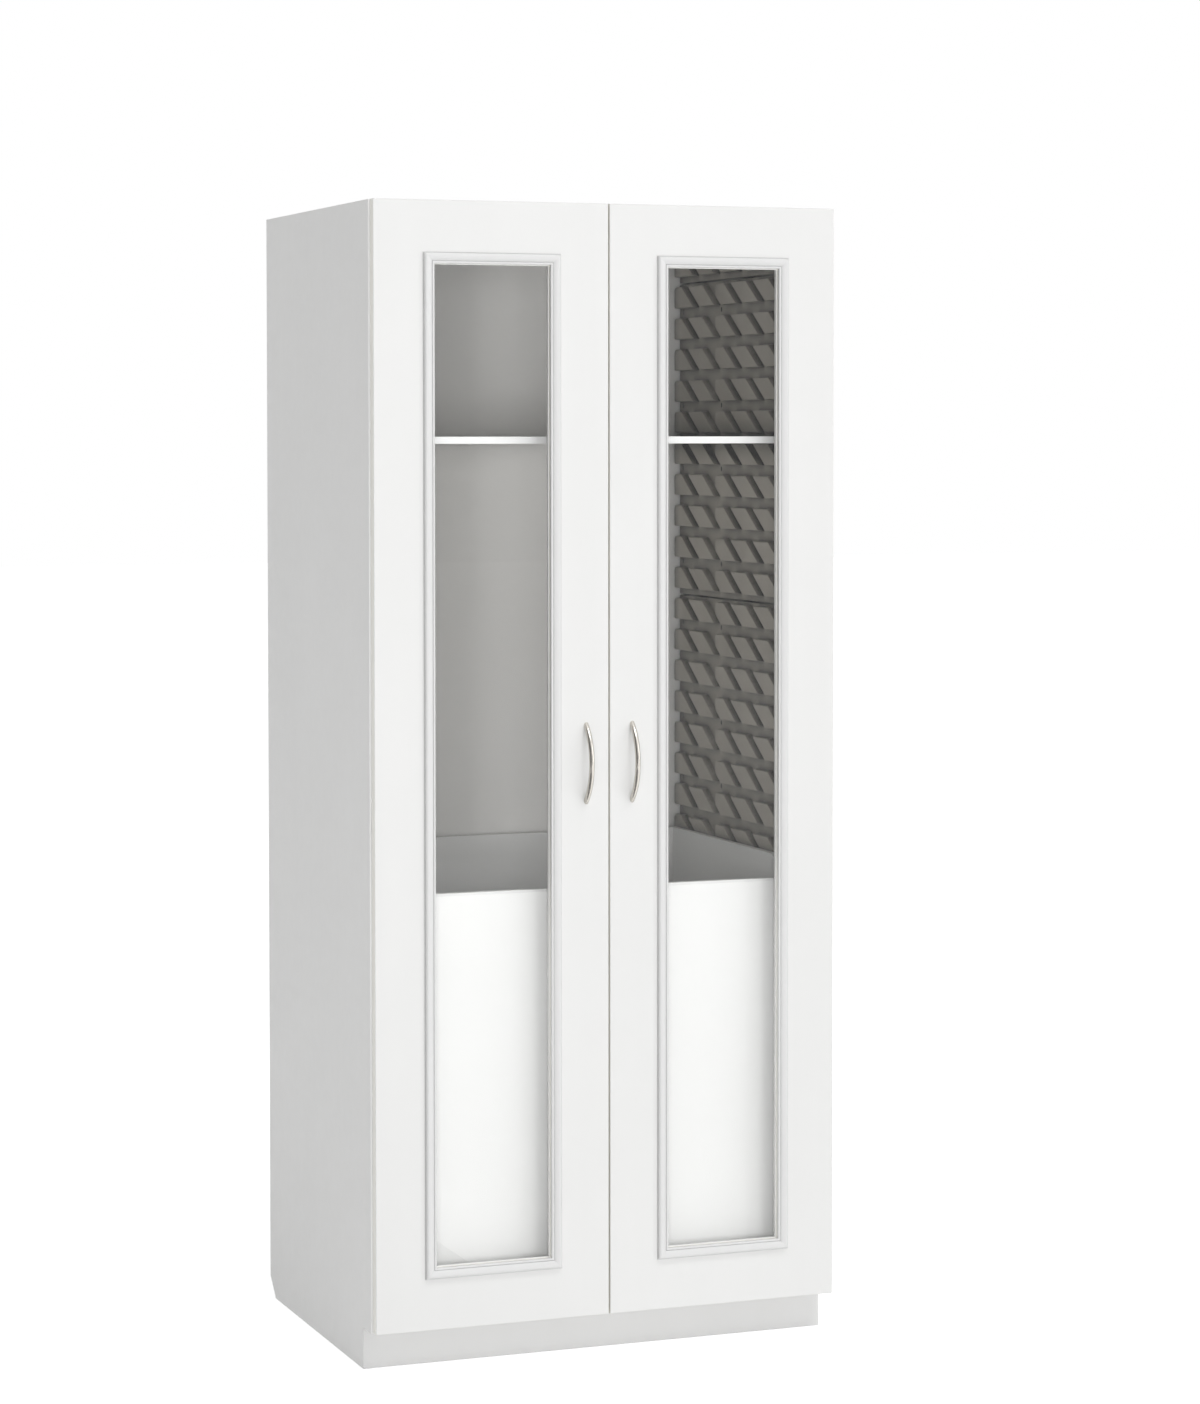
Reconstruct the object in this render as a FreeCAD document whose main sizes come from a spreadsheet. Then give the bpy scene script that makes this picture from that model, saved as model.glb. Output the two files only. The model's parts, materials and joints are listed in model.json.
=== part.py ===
import FreeCAD, Part
import math
import os
from types import SimpleNamespace

import Sketcher
from FreeCAD import Placement, Rotation, Vector

# Tall clinic storage cabinet: a case with two windowed doors on concealed hinges, moulded wall
# liners, a shelf and a deep bin. Millimetres, +Z up, -Y front, +X right as seen from the front.
# The origin is on the floor at the centre of the footprint, handles included.

SIZES = {
    # Overall case
    "cabinet_width": 914.4,
    "cabinet_height": 2133.6,
    "cabinet_depth": 686,
    "board": 19,
    "deck_board": 25,
    "toe_height": 76.2,
    "toe_recess": 70,
    "tip_bevel": 38,
    # Doors
    "door_board": 19,
    "door_gap": 2,
    "side_reveal": 3,
    "meeting_gap": 3,
    "door_foot": 78,
    "door_edge_round": 1.5,
    # Window, its moulding and its pane
    "frame_inset": 94,
    "moulding_width": 20.5,
    "moulding_edge": 3,
    "moulding_quirk": 1,
    "moulding_crown": 8.5,
    "moulding_crown_position": 5.5,
    "moulding_crown_bow": 1.3,
    "moulding_slope_bow": 1.1,
    "moulding_valley": 4.2,
    "moulding_bead_width": 4.5,
    "moulding_bead_edge": 4.2,
    "moulding_bead_bow": 1.3,
    "glass": 4,
    "glass_setback": 7,
    "glass_clearance": 1,
    "rebate_width": 10,
    # Bow handle, bent from round rod and cut flat where it meets the door
    "bow_radius": 98,
    "bow_rise": 28.5,
    "rod_radius": 5,
    "handle_from_edge": 44,
    "handle_height": 1104.5,
    # Door bumper
    "bumper_width": 8,
    "bumper_inset": 14,
    "bumper_clearance": 0.3,
    # Concealed hinge
    "hinge_end_distance": 90,
    "cup_radius": 17.5,
    "cup_depth": 12.5,
    "cup_wall": 1.2,
    "cup_floor": 1,
    "cup_mouth_height": 16,
    "cup_edge_distance": 4.5,
    "flange": 1,
    "flange_width": 37,
    "flange_height": 52,
    "plate_wing": 2,
    "plate_wing_width": 16,
    "plate_wing_height": 50,
    "plate_core": 6,
    "plate_core_length": 46,
    "plate_line": 37,
    "arm_width": 12,
    "arm_thickness": 7,
    "arm_crank": 14,
    "arm_nose_length": 10,
    "arm_cup_clearance": 3,
    # Wall liners
    "liner_front": 60,
    "liner_back_gap": 7,
    "liner_foot": 8.8,
    "liner_panel_height": 635,
    "liner_stand_off": 22.2,
    "liner_sheet": 3,
    "batten_width": 40,
    "batten_end_inset": 40,
    "block_thickness": 14,
    "row_pitch": 63.5,
    "row_height": 43.5,
    "row_margin": 15.5,
    "slot_start": 40,
    "slot_pitch": 109,
    "slot_width": 31,
    "slot_lean": 63,
    "relief_position": 216.5,
    "liner_end_margin": 3,
    "liner_top_clearance": 1.6,
    # Shelf
    "shelf_thickness": 13,
    "shelf_row": 25,
    "shelf_side_clearance": 2,
    "shelf_setback": 5,
    "shelf_back_gap": 12,
    "shelf_edge_band": 1,
    # Bin and its slides
    "bin_board": 12,
    "bin_side_clearance": 3,
    "bin_front": 60,
    "bin_back_gap": 27,
    "bin_front_top": 868,
    "bin_side_ramp": 25,
    "bin_side_round": 44.4,
    "slide_height": 12.7,
    "slide_width": 45,
    "slide_end_gap": 6,
    "slide_metal": 1.5,
    "slide_play": 0.5,
    "slide_inset": 96,
}

LINER_ROWS = 10
RELIEF_BLOCK = 2
HINGES = 5
DRAFT_DEGREES = -3
BOW_SPANS = 7
BOW_SPAN_DEGREES = 14

doc = FreeCAD.newDocument("storage_cabinet")
sheet = doc.addObject("Spreadsheet::Sheet", "Sizes")


class Size:
    """A length held both as a number and as the sheet expression that gives it."""

    def __init__(self, value, text):
        self.value = value
        self.text = text

    def __add__(self, other):
        other = as_size(other)
        return Size(self.value + other.value, f"({self.text} + {other.text})")

    def __sub__(self, other):
        other = as_size(other)
        return Size(self.value - other.value, f"({self.text} - {other.text})")

    def __mul__(self, other):
        other = as_size(other)
        return Size(self.value * other.value, f"({self.text} * {other.text})")

    def __truediv__(self, other):
        other = as_size(other)
        return Size(self.value / other.value, f"({self.text} / {other.text})")

    def __neg__(self):
        return Size(-self.value, f"(0 - {self.text})")


def as_size(number):
    if isinstance(number, Size):
        return number
    return Size(float(number), repr(float(number)))


def read_sheet():
    """Fill the sheet from SIZES and return its cells as sizes."""
    cells = {}
    for row, (name, number) in enumerate(SIZES.items(), start=1):
        sheet.set(f"A{row}", name.replace("_", " "))
        sheet.set(f"B{row}", str(number))
        sheet.setAlias(f"B{row}", name)
        cells[name] = Size(float(number), f"Sizes.{name}")
    doc.recompute()
    return SimpleNamespace(**cells)


s = read_sheet()
ZERO = as_size(0)
nodes = []


def place(thing, x=0, y=0, z=0, rotation=None):
    """Bind where a piece stands, turned first if a rotation is given."""
    if rotation is not None:
        thing.Placement = Placement(Vector(), rotation)
    for axis, length in zip("xyz", (x, y, z)):
        thing.setExpression(f"Placement.Base.{axis}", as_size(length).text)
    return thing


def box(name, size, corner):
    thing = doc.addObject("Part::Box", name)
    for side, length in zip(("Length", "Width", "Height"), size):
        thing.setExpression(side, as_size(length).text)
    return place(thing, *corner)


def join(kind, name, base, tool):
    thing = doc.addObject(kind, name)
    thing.Base = base
    thing.Tool = tool
    return thing


def group(name, pieces):
    thing = doc.addObject("Part::Compound", name)
    thing.Links = pieces
    return thing


def copy_at(name, piece, x=0, y=0, z=0, rotation=None):
    return place(group(name, [piece]), x, y, z, rotation)


def mirrored(name, piece):
    """The same piece on the other side of the cabinet's middle plane."""
    thing = doc.addObject("Part::Mirroring", name)
    thing.Source = piece
    thing.Normal = Vector(1, 0, 0)
    return thing


def keep(*things):
    nodes.extend(things)
    return things[0]


def both_sides(left_name, piece):
    """Keep a left-hand piece and its mirror image."""
    piece.Label = left_name
    right_name = left_name.replace("left_", "right_", 1)
    keep(piece, mirrored(right_name, piece))
    return piece


def body(name):
    return doc.addObject("PartDesign::Body", name)


def sketch_on(part, role, height=ZERO):
    """Start a sketch on one of the body's own planes, lifted along its normal."""
    plane = next(item for item in part.Origin.OriginFeatures if item.Role == role)
    sketch = part.newObject("Sketcher::SketchObject", f"{part.Name}_sketch")
    sketch.AttachmentSupport = (plane, [""])
    sketch.MapMode = "FlatFace"
    sketch.setExpression("AttachmentOffset.Base.z", height.text)
    return sketch


def pin_point(sketch, line, end, x, y):
    """Tie one end of a line to its distances from the sketch's origin."""
    for kind, length in (("DistanceX", x), ("DistanceY", y)):
        constraint = Sketcher.Constraint(kind, -1, 1, line, end, length.value)
        index = sketch.addConstraint(constraint)
        sketch.setExpression(f"Constraints[{index}]", length.text)


def add_loop(sketch, corners):
    """Draw a closed outline. A corner's third value bows the next edge out by that much."""
    points = [(as_size(corner[0]), as_size(corner[1])) for corner in corners]
    count = len(points)
    first = sketch.GeometryCount
    for index, corner in enumerate(corners):
        start, end = points[index], points[(index + 1) % count]
        a = Vector(start[0].value, start[1].value, 0)
        b = Vector(end[0].value, end[1].value, 0)
        if len(corner) == 2:
            sketch.addGeometry(Part.LineSegment(a, b))
            continue
        bow = as_size(corner[2])
        side = Vector(b.y - a.y, a.x - b.x, 0).normalize()
        middle = (a + b) / 2 + side * bow.value
        sketch.addGeometry(Part.Arc(a, middle, b))
    for index, corner in enumerate(corners):
        following = (index + 1) % count
        line = first + index
        start, end = line_ends(corner)
        next_start, _ = line_ends(corners[following])
        join_ends = Sketcher.Constraint("Coincident", line, end, first + following, next_start)
        sketch.addConstraint(join_ends)
        pin_point(sketch, line, start, *points[index])
        if len(corner) == 3:
            bind_arc(sketch, line, points[index], points[following], as_size(corner[2]))


def line_ends(corner):
    """Which of an edge's points are its start and end. An arc bowed inwards runs the other way."""
    if len(corner) == 3 and as_size(corner[2]).value < 0:
        return 2, 1
    return 1, 2


def bind_arc(sketch, line, start, end, bow):
    """Give an arc the radius that its chord and bow ask for."""
    run = end[0] - start[0]
    rise = end[1] - start[1]
    chord_squared = run * run + rise * rise
    if bow.value < 0:
        bow = -bow
    radius = chord_squared / (bow * 8) + bow / 2
    index = sketch.addConstraint(Sketcher.Constraint("Radius", line, radius.value))
    sketch.setExpression(f"Constraints[{index}]", radius.text)


def add_circle(sketch, x, y, radius):
    centre = Vector(x.value, y.value, 0)
    circle = sketch.addGeometry(Part.Circle(centre, Vector(0, 0, 1), radius.value))
    pin_point(sketch, circle, 3, x, y)
    index = sketch.addConstraint(Sketcher.Constraint("Radius", circle, radius.value))
    sketch.setExpression(f"Constraints[{index}]", radius.text)


def outline(part, role, loops, height=ZERO):
    sketch = sketch_on(part, role, height)
    for corners in loops:
        add_loop(sketch, corners)
    return sketch


def rectangle(x0, y0, x1, y1):
    return [(x0, y0), (x1, y0), (x1, y1), (x0, y1)]


def pad(part, sketch, length, backwards=False, midplane=False):
    feature = part.newObject("PartDesign::Pad", f"{part.Name}_pad")
    feature.Profile = sketch
    feature.setExpression("Length", as_size(length).text)
    feature.Reversed = backwards
    feature.Midplane = midplane
    return feature


def pocket(part, sketch, depth=None, backwards=False):
    """Cut to a depth, or right through on both sides where no depth is given."""
    feature = part.newObject("PartDesign::Pocket", f"{part.Name}_pocket")
    feature.Profile = sketch
    if depth is None:
        feature.Type = "ThroughAll"
        feature.Midplane = True
    else:
        feature.setExpression("Length", as_size(depth).text)
        feature.Reversed = backwards
    return feature


# Levels and planes shared by the pieces. Y is the door's front plane plus a depth into the cabinet.
half_width = s.cabinet_width / 2
inner_half = half_width - s.board
front = (s.bow_rise + s.rod_radius - s.cabinet_depth) / 2
carcass_front = s.door_board + s.door_gap
back_inner = s.cabinet_depth - s.board
deck_top = s.toe_height + s.deck_board
ceiling = s.cabinet_height - s.board
door_edge = half_width - s.side_reveal
door_width = door_edge - s.meeting_gap / 2
door_height = s.cabinet_height - s.door_foot


def at_depth(depth):
    return front + depth


def case():
    """Side panels, top, deck, back and the boards of the toe space."""
    side = body("left_side_panel")
    profile = [
        (carcass_front, s.toe_height),
        (s.toe_recess, s.toe_height),
        (s.toe_recess, ZERO),
        (s.cabinet_depth - s.tip_bevel, ZERO),
        (s.cabinet_depth, s.tip_bevel),
        (s.cabinet_depth, s.cabinet_height),
        (carcass_front, s.cabinet_height),
    ]
    pad(side, outline(side, "YZ_Plane", [profile]), s.board)
    place(side, -half_width, front)
    both_sides("left_side_panel", side)

    inner_width = inner_half * 2
    span_depth = back_inner - carcass_front
    left = -inner_half
    keep(box("top_panel", (inner_width, span_depth, s.board), (left, at_depth(carcass_front), ceiling)))
    keep(box(
        "bottom_deck",
        (inner_width, span_depth, s.deck_board),
        (left, at_depth(carcass_front), s.toe_height),
    ))
    keep(box(
        "back_panel",
        (inner_width, s.board, s.cabinet_height - s.toe_height),
        (left, at_depth(back_inner), s.toe_height),
    ))
    keep(box("toe_kick_board", (inner_width, s.board, s.toe_height), (left, at_depth(s.toe_recess), ZERO)))
    rail_depth = s.cabinet_depth - s.tip_bevel - s.board
    keep(box("rear_toe_rail", (inner_width, s.board, s.toe_height), (left, at_depth(rail_depth), ZERO)))


# Liner levels. The liner's own frame has X towards the middle, Y to the front and Z up from its foot.
liner_back = back_inner - s.liner_back_gap
liner_depth = liner_back - s.liner_front
liner_face = inner_half - s.liner_stand_off - s.liner_sheet
block_face = liner_face - s.block_thickness
liner_base = deck_top + s.liner_foot


def clip(corners, limit, keep_below):
    """The part of an outline on one side of an upright line."""
    kept = []
    for index, (x, y) in enumerate(corners):
        before_x, before_y = corners[index - 1]
        inside = (x.value <= limit.value) == keep_below
        was_inside = (before_x.value <= limit.value) == keep_below
        if inside != was_inside:
            share = (limit - before_x) / (x - before_x)
            kept.append((limit, before_y + (y - before_y) * share))
        if inside:
            kept.append((x, y))
    return kept


def block_outlines():
    """The raised blocks of one row: what the sloping slots leave between them."""
    low = s.row_margin
    high = s.row_margin + s.row_height
    end = liner_depth - s.liner_end_margin
    blocks = []
    back_top = s.liner_end_margin
    back_bottom = s.liner_end_margin
    slot_back = s.slot_start
    while back_top.value < end.value:
        outline_of_block = [
            (back_top, high),
            (back_bottom, low),
            (slot_back + s.slot_lean, low),
            (slot_back, high),
        ]
        if len(blocks) == RELIEF_BLOCK:
            # This block's back is cut upright, for trays that drop straight in.
            outline_of_block = clip(outline_of_block, s.relief_position, False)
        blocks.append(clip(outline_of_block, end, True))
        back_top = slot_back + s.slot_width
        back_bottom = back_top + s.slot_lean
        slot_back = slot_back + s.slot_pitch
    return blocks


def liner_panel():
    """One moulded liner for the left wall: a thin sheet with rows of sloping blocks."""
    panel = body("liner_panel")
    sheet_loop = rectangle(ZERO, ZERO, liner_depth, s.liner_panel_height)
    pad(panel, outline(panel, "YZ_Plane", [sheet_loop]), s.liner_sheet)
    row = pad(panel, outline(panel, "YZ_Plane", block_outlines(), s.liner_sheet), s.block_thickness)
    row.TaperAngle = DRAFT_DEGREES
    rows = panel.newObject("PartDesign::LinearPattern", "liner_rows")
    rows.Originals = [row]
    rows.Direction = (row.Profile[0], ["V_Axis"])
    rows.setExpression("Length", (s.row_pitch * (LINER_ROWS - 1)).text)
    rows.Occurrences = LINER_ROWS
    panel.Tip = rows
    return panel


def liners():
    """Battens and a stack of liners on each side wall. The top one is a whole panel cut to fit."""
    panel = liner_panel()
    facing = doc.addObject("Part::Mirroring", "liner_panel_facing")
    facing.Source = panel
    facing.Normal = Vector(0, 1, 0)
    base_x = -liner_face - s.liner_sheet
    stack_top = ceiling - s.liner_top_clearance
    whole_panels = int((stack_top - liner_base).value // s.liner_panel_height.value)
    names = ["lower", "middle", "upper"] + [f"level_{index + 1}" for index in range(3, whole_panels)]
    for index, name in enumerate(names[:whole_panels]):
        level = liner_base + s.liner_panel_height * index
        piece = copy_at(f"left_liner_{name}", facing, base_x, at_depth(liner_back), level)
        both_sides(f"left_liner_{name}", piece)
    strip_foot = liner_base + s.liner_panel_height * whole_panels
    whole = copy_at("left_liner_top_whole", facing, base_x, at_depth(liner_back), strip_foot)
    kept = box(
        "left_liner_top_kept",
        (s.liner_sheet + s.block_thickness, liner_depth, stack_top - strip_foot),
        (base_x, at_depth(s.liner_front), strip_foot),
    )
    both_sides("left_liner_top", join("Part::Common", "left_liner_top", whole, kept))

    first = s.batten_end_inset + s.batten_width
    last = liner_depth - s.batten_end_inset
    battens = []
    for index, from_back in enumerate((first, (first + last) / 2, last)):
        battens.append(box(
            f"left_batten_{index + 1}",
            (s.liner_stand_off, s.batten_width, ceiling - deck_top),
            (-inner_half, at_depth(liner_back - from_back), deck_top),
        ))
    both_sides("left_liner_battens", group("left_liner_battens", battens))


def shelf():
    """The shelf lies on the blocks of one liner row, with its ends in the channel above them."""
    rows_below = int(s.shelf_row.value)
    panels_below, row = divmod(rows_below - 1, LINER_ROWS)
    row_top = s.row_margin + s.row_height + s.row_pitch * row
    level = liner_base + s.liner_panel_height * panels_below + row_top
    half = liner_face - s.shelf_side_clearance
    nose = s.liner_front + s.shelf_setback
    board_front = nose + s.shelf_edge_band
    board_depth = back_inner - s.shelf_back_gap - board_front
    keep(box(
        "shelf",
        (half * 2, board_depth, s.shelf_thickness),
        (-half, at_depth(board_front), level),
    ))
    keep(box(
        "shelf_edge_band",
        (half * 2, s.shelf_edge_band, s.shelf_thickness),
        (-half, at_depth(nose), level),
    ))


# The bin's outer sides and back, which its slides follow.
bin_outer = block_face - s.bin_side_clearance
bin_rear = back_inner - s.bin_back_gap


def slides():
    """Three nested channels under each side of the bin."""
    length = bin_rear - s.bin_front - s.bin_board * 2 - s.slide_end_gap
    base = deck_top
    half = s.slide_width / 2
    inset = s.slide_metal + s.slide_play
    top = s.slide_height

    def channel(name, half_span, low, high, web_on_top):
        inner = half_span - s.slide_metal
        if web_on_top:
            ends = (low, high, high - s.slide_metal)
        else:
            ends = (high, low, low + s.slide_metal)
        tip, web, web_inner = ends
        loop = [
            (-half_span, tip), (-half_span, web), (half_span, web), (half_span, tip),
            (inner, tip), (inner, web_inner), (-inner, web_inner), (-inner, tip),
        ]
        part = body(name)
        pad(part, outline(part, "XZ_Plane", [loop]), length, backwards=True)
        return part

    play = s.slide_play
    metal = s.slide_metal
    members = {
        "cabinet": channel("slide_cabinet_member", half, ZERO, top - metal * 2, False),
        "middle": channel("slide_middle_member", half - inset, metal + play, top - metal - play, False),
        "bin": channel("slide_bin_member", half - inset * 2, metal * 2 + play * 2, top, True),
    }
    start = s.bin_front + s.bin_board
    middle = bin_outer - s.slide_inset
    for name, member in members.items():
        pair = []
        for side, sign in (("left", -1), ("right", 1)):
            pair.append(copy_at(f"{side}_slide_{name}", member, middle * sign, at_depth(start), base))
        keep(group(f"slide_{name}_members", pair))


def bin_boards():
    """A full-width bin, low in front, with sides that sweep up behind the front board."""
    board = s.bin_board
    base = deck_top + s.slide_height
    outer = bin_outer
    inner = outer - board
    rear = bin_rear
    keep(box(
        "bin_front",
        (outer * 2, board, s.bin_front_top - base),
        (-outer, at_depth(s.bin_front), base),
    ))
    # The top edge climbs at 45 degrees, then rounds over to level.
    half_root = math.sqrt(0.5)
    run = s.bin_side_round * half_root
    rise = s.bin_side_round * (1 - half_root)
    bow = s.bin_side_round * (1 - math.cos(math.radians(22.5)))
    ramp = s.bin_side_ramp
    start = s.bin_front + board
    level = s.bin_front_top + ramp + rise
    profile = [
        (start, base),
        (rear - board, base),
        (rear - board, level),
        (start + ramp + run, level, -bow),
        (start + ramp, s.bin_front_top + ramp),
        (start, s.bin_front_top),
    ]
    side = body("bin_left_side")
    pad(side, outline(side, "YZ_Plane", [profile]), board)
    place(side, -outer, front)
    keep(side, mirrored("bin_right_side", side))
    keep(box("bin_back", (outer * 2, board, level - base), (-outer, at_depth(rear - board), base)))
    keep(box(
        "bin_floor",
        (inner * 2, rear - s.bin_front - board * 2, board),
        (-inner, at_depth(start), base),
    ))


# Hinge places, measured in from the door's outer edge and back from its front face.
cup_centre = s.cup_edge_distance + s.cup_radius
side_inner = s.board - s.side_reveal
hinge_first = s.door_foot + s.hinge_end_distance
hinge_last = s.cabinet_height - s.hinge_end_distance
hinge_step = (hinge_last - hinge_first) / (HINGES - 1)
hinge_levels = [hinge_first + hinge_step * index for index in range(HINGES)]
FACING_BACK = Rotation(Vector(1, 0, 0), -90)


def hinge_cup():
    """A round cup with its flange, opening along its own +Z."""
    cup = body("hinge_cup")
    ring = sketch_on(cup, "XY_Plane")
    add_circle(ring, ZERO, ZERO, s.cup_radius)
    pad(cup, ring, s.cup_depth, backwards=True)
    half_width_of_flange = s.flange_width / 2
    half_height = s.flange_height / 2
    flange_loop = rectangle(-half_width_of_flange, -half_height, half_width_of_flange, half_height)
    pad(cup, outline(cup, "XY_Plane", [flange_loop]), s.flange)
    # The mouth's corners stay a wall's thickness inside the round cup.
    half_mouth = s.cup_mouth_height / 2
    bore = s.cup_radius - s.cup_wall
    reach = bore * bore - half_mouth * half_mouth
    half_reach = Size(math.sqrt(reach.value), f"sqrt({reach.text})")
    mouth = rectangle(-half_reach, -half_mouth, half_reach, half_mouth)
    pocket(cup, outline(cup, "XY_Plane", [mouth], s.flange), s.flange + s.cup_depth - s.cup_floor)
    return cup


def hinge_plate():
    """The mounting plate: a low core with two wings for its screws. X is off the side panel."""
    plate = body("hinge_plate")
    line = s.plate_line
    half_wing = s.plate_wing_width / 2
    wing = rectangle(line - half_wing, -s.plate_wing_height / 2, line + half_wing, s.plate_wing_height / 2)
    pad(plate, outline(plate, "YZ_Plane", [wing]), s.plate_wing)
    start = line - s.plate_core_length / 2
    core = rectangle(start, -s.arm_width / 2, start + s.plate_core_length, s.arm_width / 2)
    pad(plate, outline(plate, "YZ_Plane", [core]), s.plate_core)
    return plate


def hinge_arm():
    """The cranked arm from the mounting plate into the cup, in its place beside the door's edge."""
    arm = body("hinge_arm")
    seat = side_inner + s.plate_core
    tail = carcass_front + s.plate_line + s.plate_core_length / 2
    nose = s.door_board - s.cup_depth + s.cup_floor + s.arm_cup_clearance
    tip = cup_centre + s.cup_radius - s.cup_wall * 2 - s.arm_cup_clearance
    heel = s.arm_cup_clearance / 2
    profile = [
        (seat, tail),
        (seat + s.arm_thickness, tail),
        (seat + s.arm_thickness + heel, carcass_front + s.arm_crank),
        (tip, carcass_front + heel),
        (tip, nose),
        (tip - s.arm_nose_length, nose),
        (seat + heel, carcass_front),
        (seat, carcass_front + s.arm_crank),
    ]
    pad(arm, outline(arm, "XY_Plane", [profile]), s.arm_width, midplane=True)
    return arm


def hinges():
    """Five hinges a door: cups on the door, plates and arms on the side panel."""
    cup = hinge_cup()
    plate = hinge_plate()
    arm = hinge_arm()
    cups = []
    plates = []
    arms = []
    for index, level in enumerate(hinge_levels, start=1):
        cup_x = cup_centre - door_edge
        cups.append(copy_at(
            f"left_cup_{index}", cup, cup_x, at_depth(s.door_board), level, FACING_BACK
        ))
        plates.append(copy_at(f"left_plate_{index}", plate, -inner_half, at_depth(carcass_front), level))
        arms.append(copy_at(f"left_arm_{index}", arm, -door_edge, front, level))
    both_sides("left_hinge_cups", group("left_hinge_cups", cups))
    both_sides("left_hinge_plates", group("left_hinge_plates", plates))
    both_sides("left_hinge_arms", group("left_hinge_arms", arms))


def front_perimeter(part_shape):
    """The four long edges round the door's front face."""
    names = []
    for index, edge in enumerate(part_shape.Edges, start=1):
        spans = edge.BoundBox
        flat = abs(spans.YMin) < 1e-6 and abs(spans.YMax) < 1e-6
        on_side = abs(spans.XMin - spans.XMax) < 1e-6 and (
            abs(spans.XMin) < 1e-6 or abs(spans.XMin - door_width.value) < 1e-6
        )
        on_end = abs(spans.ZMin - spans.ZMax) < 1e-6 and (
            abs(spans.ZMin) < 1e-6 or abs(spans.ZMin - door_height.value) < 1e-6
        )
        if flat and (on_side or on_end):
            names.append(f"Edge{index}")
    return names


def door_panel():
    """The door board, with its window, pane rebate and hinge bores.

    Its own frame starts at the outer bottom corner of the front face.
    """
    door = body("left_door_panel")
    face = rectangle(ZERO, ZERO, door_width, door_height)
    slab = pad(door, outline(door, "XZ_Plane", [face]), s.door_board, backwards=True)
    doc.recompute()
    edges = door.newObject("PartDesign::Fillet", "door_edge_fillet")
    edges.Base = (slab, front_perimeter(slab.Shape))
    edges.setExpression("Radius", s.door_edge_round.text)

    window = s.frame_inset + s.moulding_width
    opening = rectangle(window, window, door_width - window, door_height - window)
    pocket(door, outline(door, "XZ_Plane", [opening]))
    rebate_inset = window - s.rebate_width
    rebate = rectangle(
        rebate_inset, rebate_inset, door_width - rebate_inset, door_height - rebate_inset
    )
    rebate_sketch = outline(door, "XZ_Plane", [rebate], -s.door_board)
    pocket(door, rebate_sketch, s.door_board - s.glass_setback, backwards=True)

    bores = sketch_on(door, "XZ_Plane", -s.door_board)
    for level in hinge_levels:
        add_circle(bores, cup_centre, level - s.door_foot, s.cup_radius)
    pocket(door, bores, s.cup_depth, backwards=True)
    place(door, -door_edge, front, s.door_foot)
    both_sides("left_door_panel", door)


def moulding(name, length):
    """A moulding length with mitred ends. X runs along it, Y inwards, Z out of the door."""
    part = body(name)
    width = s.moulding_width
    bead = width - s.moulding_bead_width
    section = [
        (ZERO, ZERO),
        (width, ZERO),
        (width, s.moulding_bead_edge, s.moulding_bead_bow),
        (bead, s.moulding_valley, s.moulding_slope_bow),
        (s.moulding_crown_position, s.moulding_crown, s.moulding_crown_bow),
        (s.moulding_quirk, s.moulding_edge + s.moulding_quirk),
        (s.moulding_quirk, s.moulding_edge),
        (ZERO, s.moulding_edge),
    ]
    pad(part, outline(part, "YZ_Plane", [section]), length)
    mitres = [
        [(ZERO, ZERO), (width, width), (ZERO, width)],
        [(length, ZERO), (length, width), (length - width, width)],
    ]
    pocket(part, outline(part, "XY_Plane", mitres))
    return part


def window_mouldings():
    """Four mitred lengths planted on the door's face round the window."""
    frame_width = door_width - s.frame_inset * 2
    frame_height = door_height - s.frame_inset * 2
    across = moulding("moulding_across", frame_width)
    upright = moulding("moulding_upright", frame_height)
    outer = s.frame_inset - door_edge
    inner = outer + frame_width
    foot = s.door_foot + s.frame_inset
    head = foot + frame_height
    lying = Rotation(Vector(1, 0, 0), 90)
    quarter = Rotation(Vector(0, 1, 0), 90)
    places = {
        "bottom": (across, outer, foot, lying),
        "top": (across, inner, head, quarter * quarter * lying),
        "outer": (upright, outer, head, quarter * lying),
        "inner": (upright, inner, foot, quarter.inverted() * lying),
    }
    for side, (source, x, z, rotation) in places.items():
        name = f"left_moulding_{side}"
        both_sides(name, copy_at(name, source, x, front, z, rotation))


def window_pane():
    """The pane lies in the rebate from behind, held by four stops."""
    rebate_inset = s.frame_inset + s.moulding_width - s.rebate_width
    gap = s.glass_clearance
    left = rebate_inset - door_edge
    foot = s.door_foot + rebate_inset
    width = door_width - rebate_inset * 2
    height = door_height - rebate_inset * 2
    both_sides("left_door_glass", box(
        "left_door_glass",
        (width - gap * 2, s.glass, height - gap * 2),
        (left + gap, at_depth(s.glass_setback), foot + gap),
    ))
    stop = s.rebate_width
    stop_front = s.glass_setback + s.glass
    stop_depth = s.door_board - stop_front
    across = (width, stop_depth, stop)
    upright = (stop, stop_depth, height - stop * 2)
    depth = at_depth(stop_front)
    stops = [
        box("left_stop_bottom", across, (left, depth, foot)),
        box("left_stop_top", across, (left, depth, foot + height - stop)),
        box("left_stop_outer", upright, (left, depth, foot + stop)),
        box("left_stop_inner", upright, (left + width - stop, depth, foot + stop)),
    ]
    both_sides("left_glass_stops", group("left_glass_stops", stops))


def handle_span():
    """One straight span of the bow at its apex, mitred at both ends. X is the bow's axis."""
    span = body("handle_span")
    slope = math.tan(math.radians(BOW_SPAN_DEGREES / 2))
    outside = s.bow_radius + s.rod_radius * 2
    inside = s.bow_radius - s.rod_radius * 2
    half_length = outside * slope
    section = sketch_on(span, "XY_Plane")
    add_circle(section, ZERO, -s.bow_radius, s.rod_radius)
    pad(span, section, half_length * 2, midplane=True)
    mitres = []
    for sign in (-1, 1):
        mitres.append([
            (-inside, inside * slope * sign),
            (-inside, half_length * sign * 2),
            (-outside, half_length * sign * 2),
            (-outside, half_length * sign),
        ])
    pocket(span, outline(span, "YZ_Plane", mitres))
    return span


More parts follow.
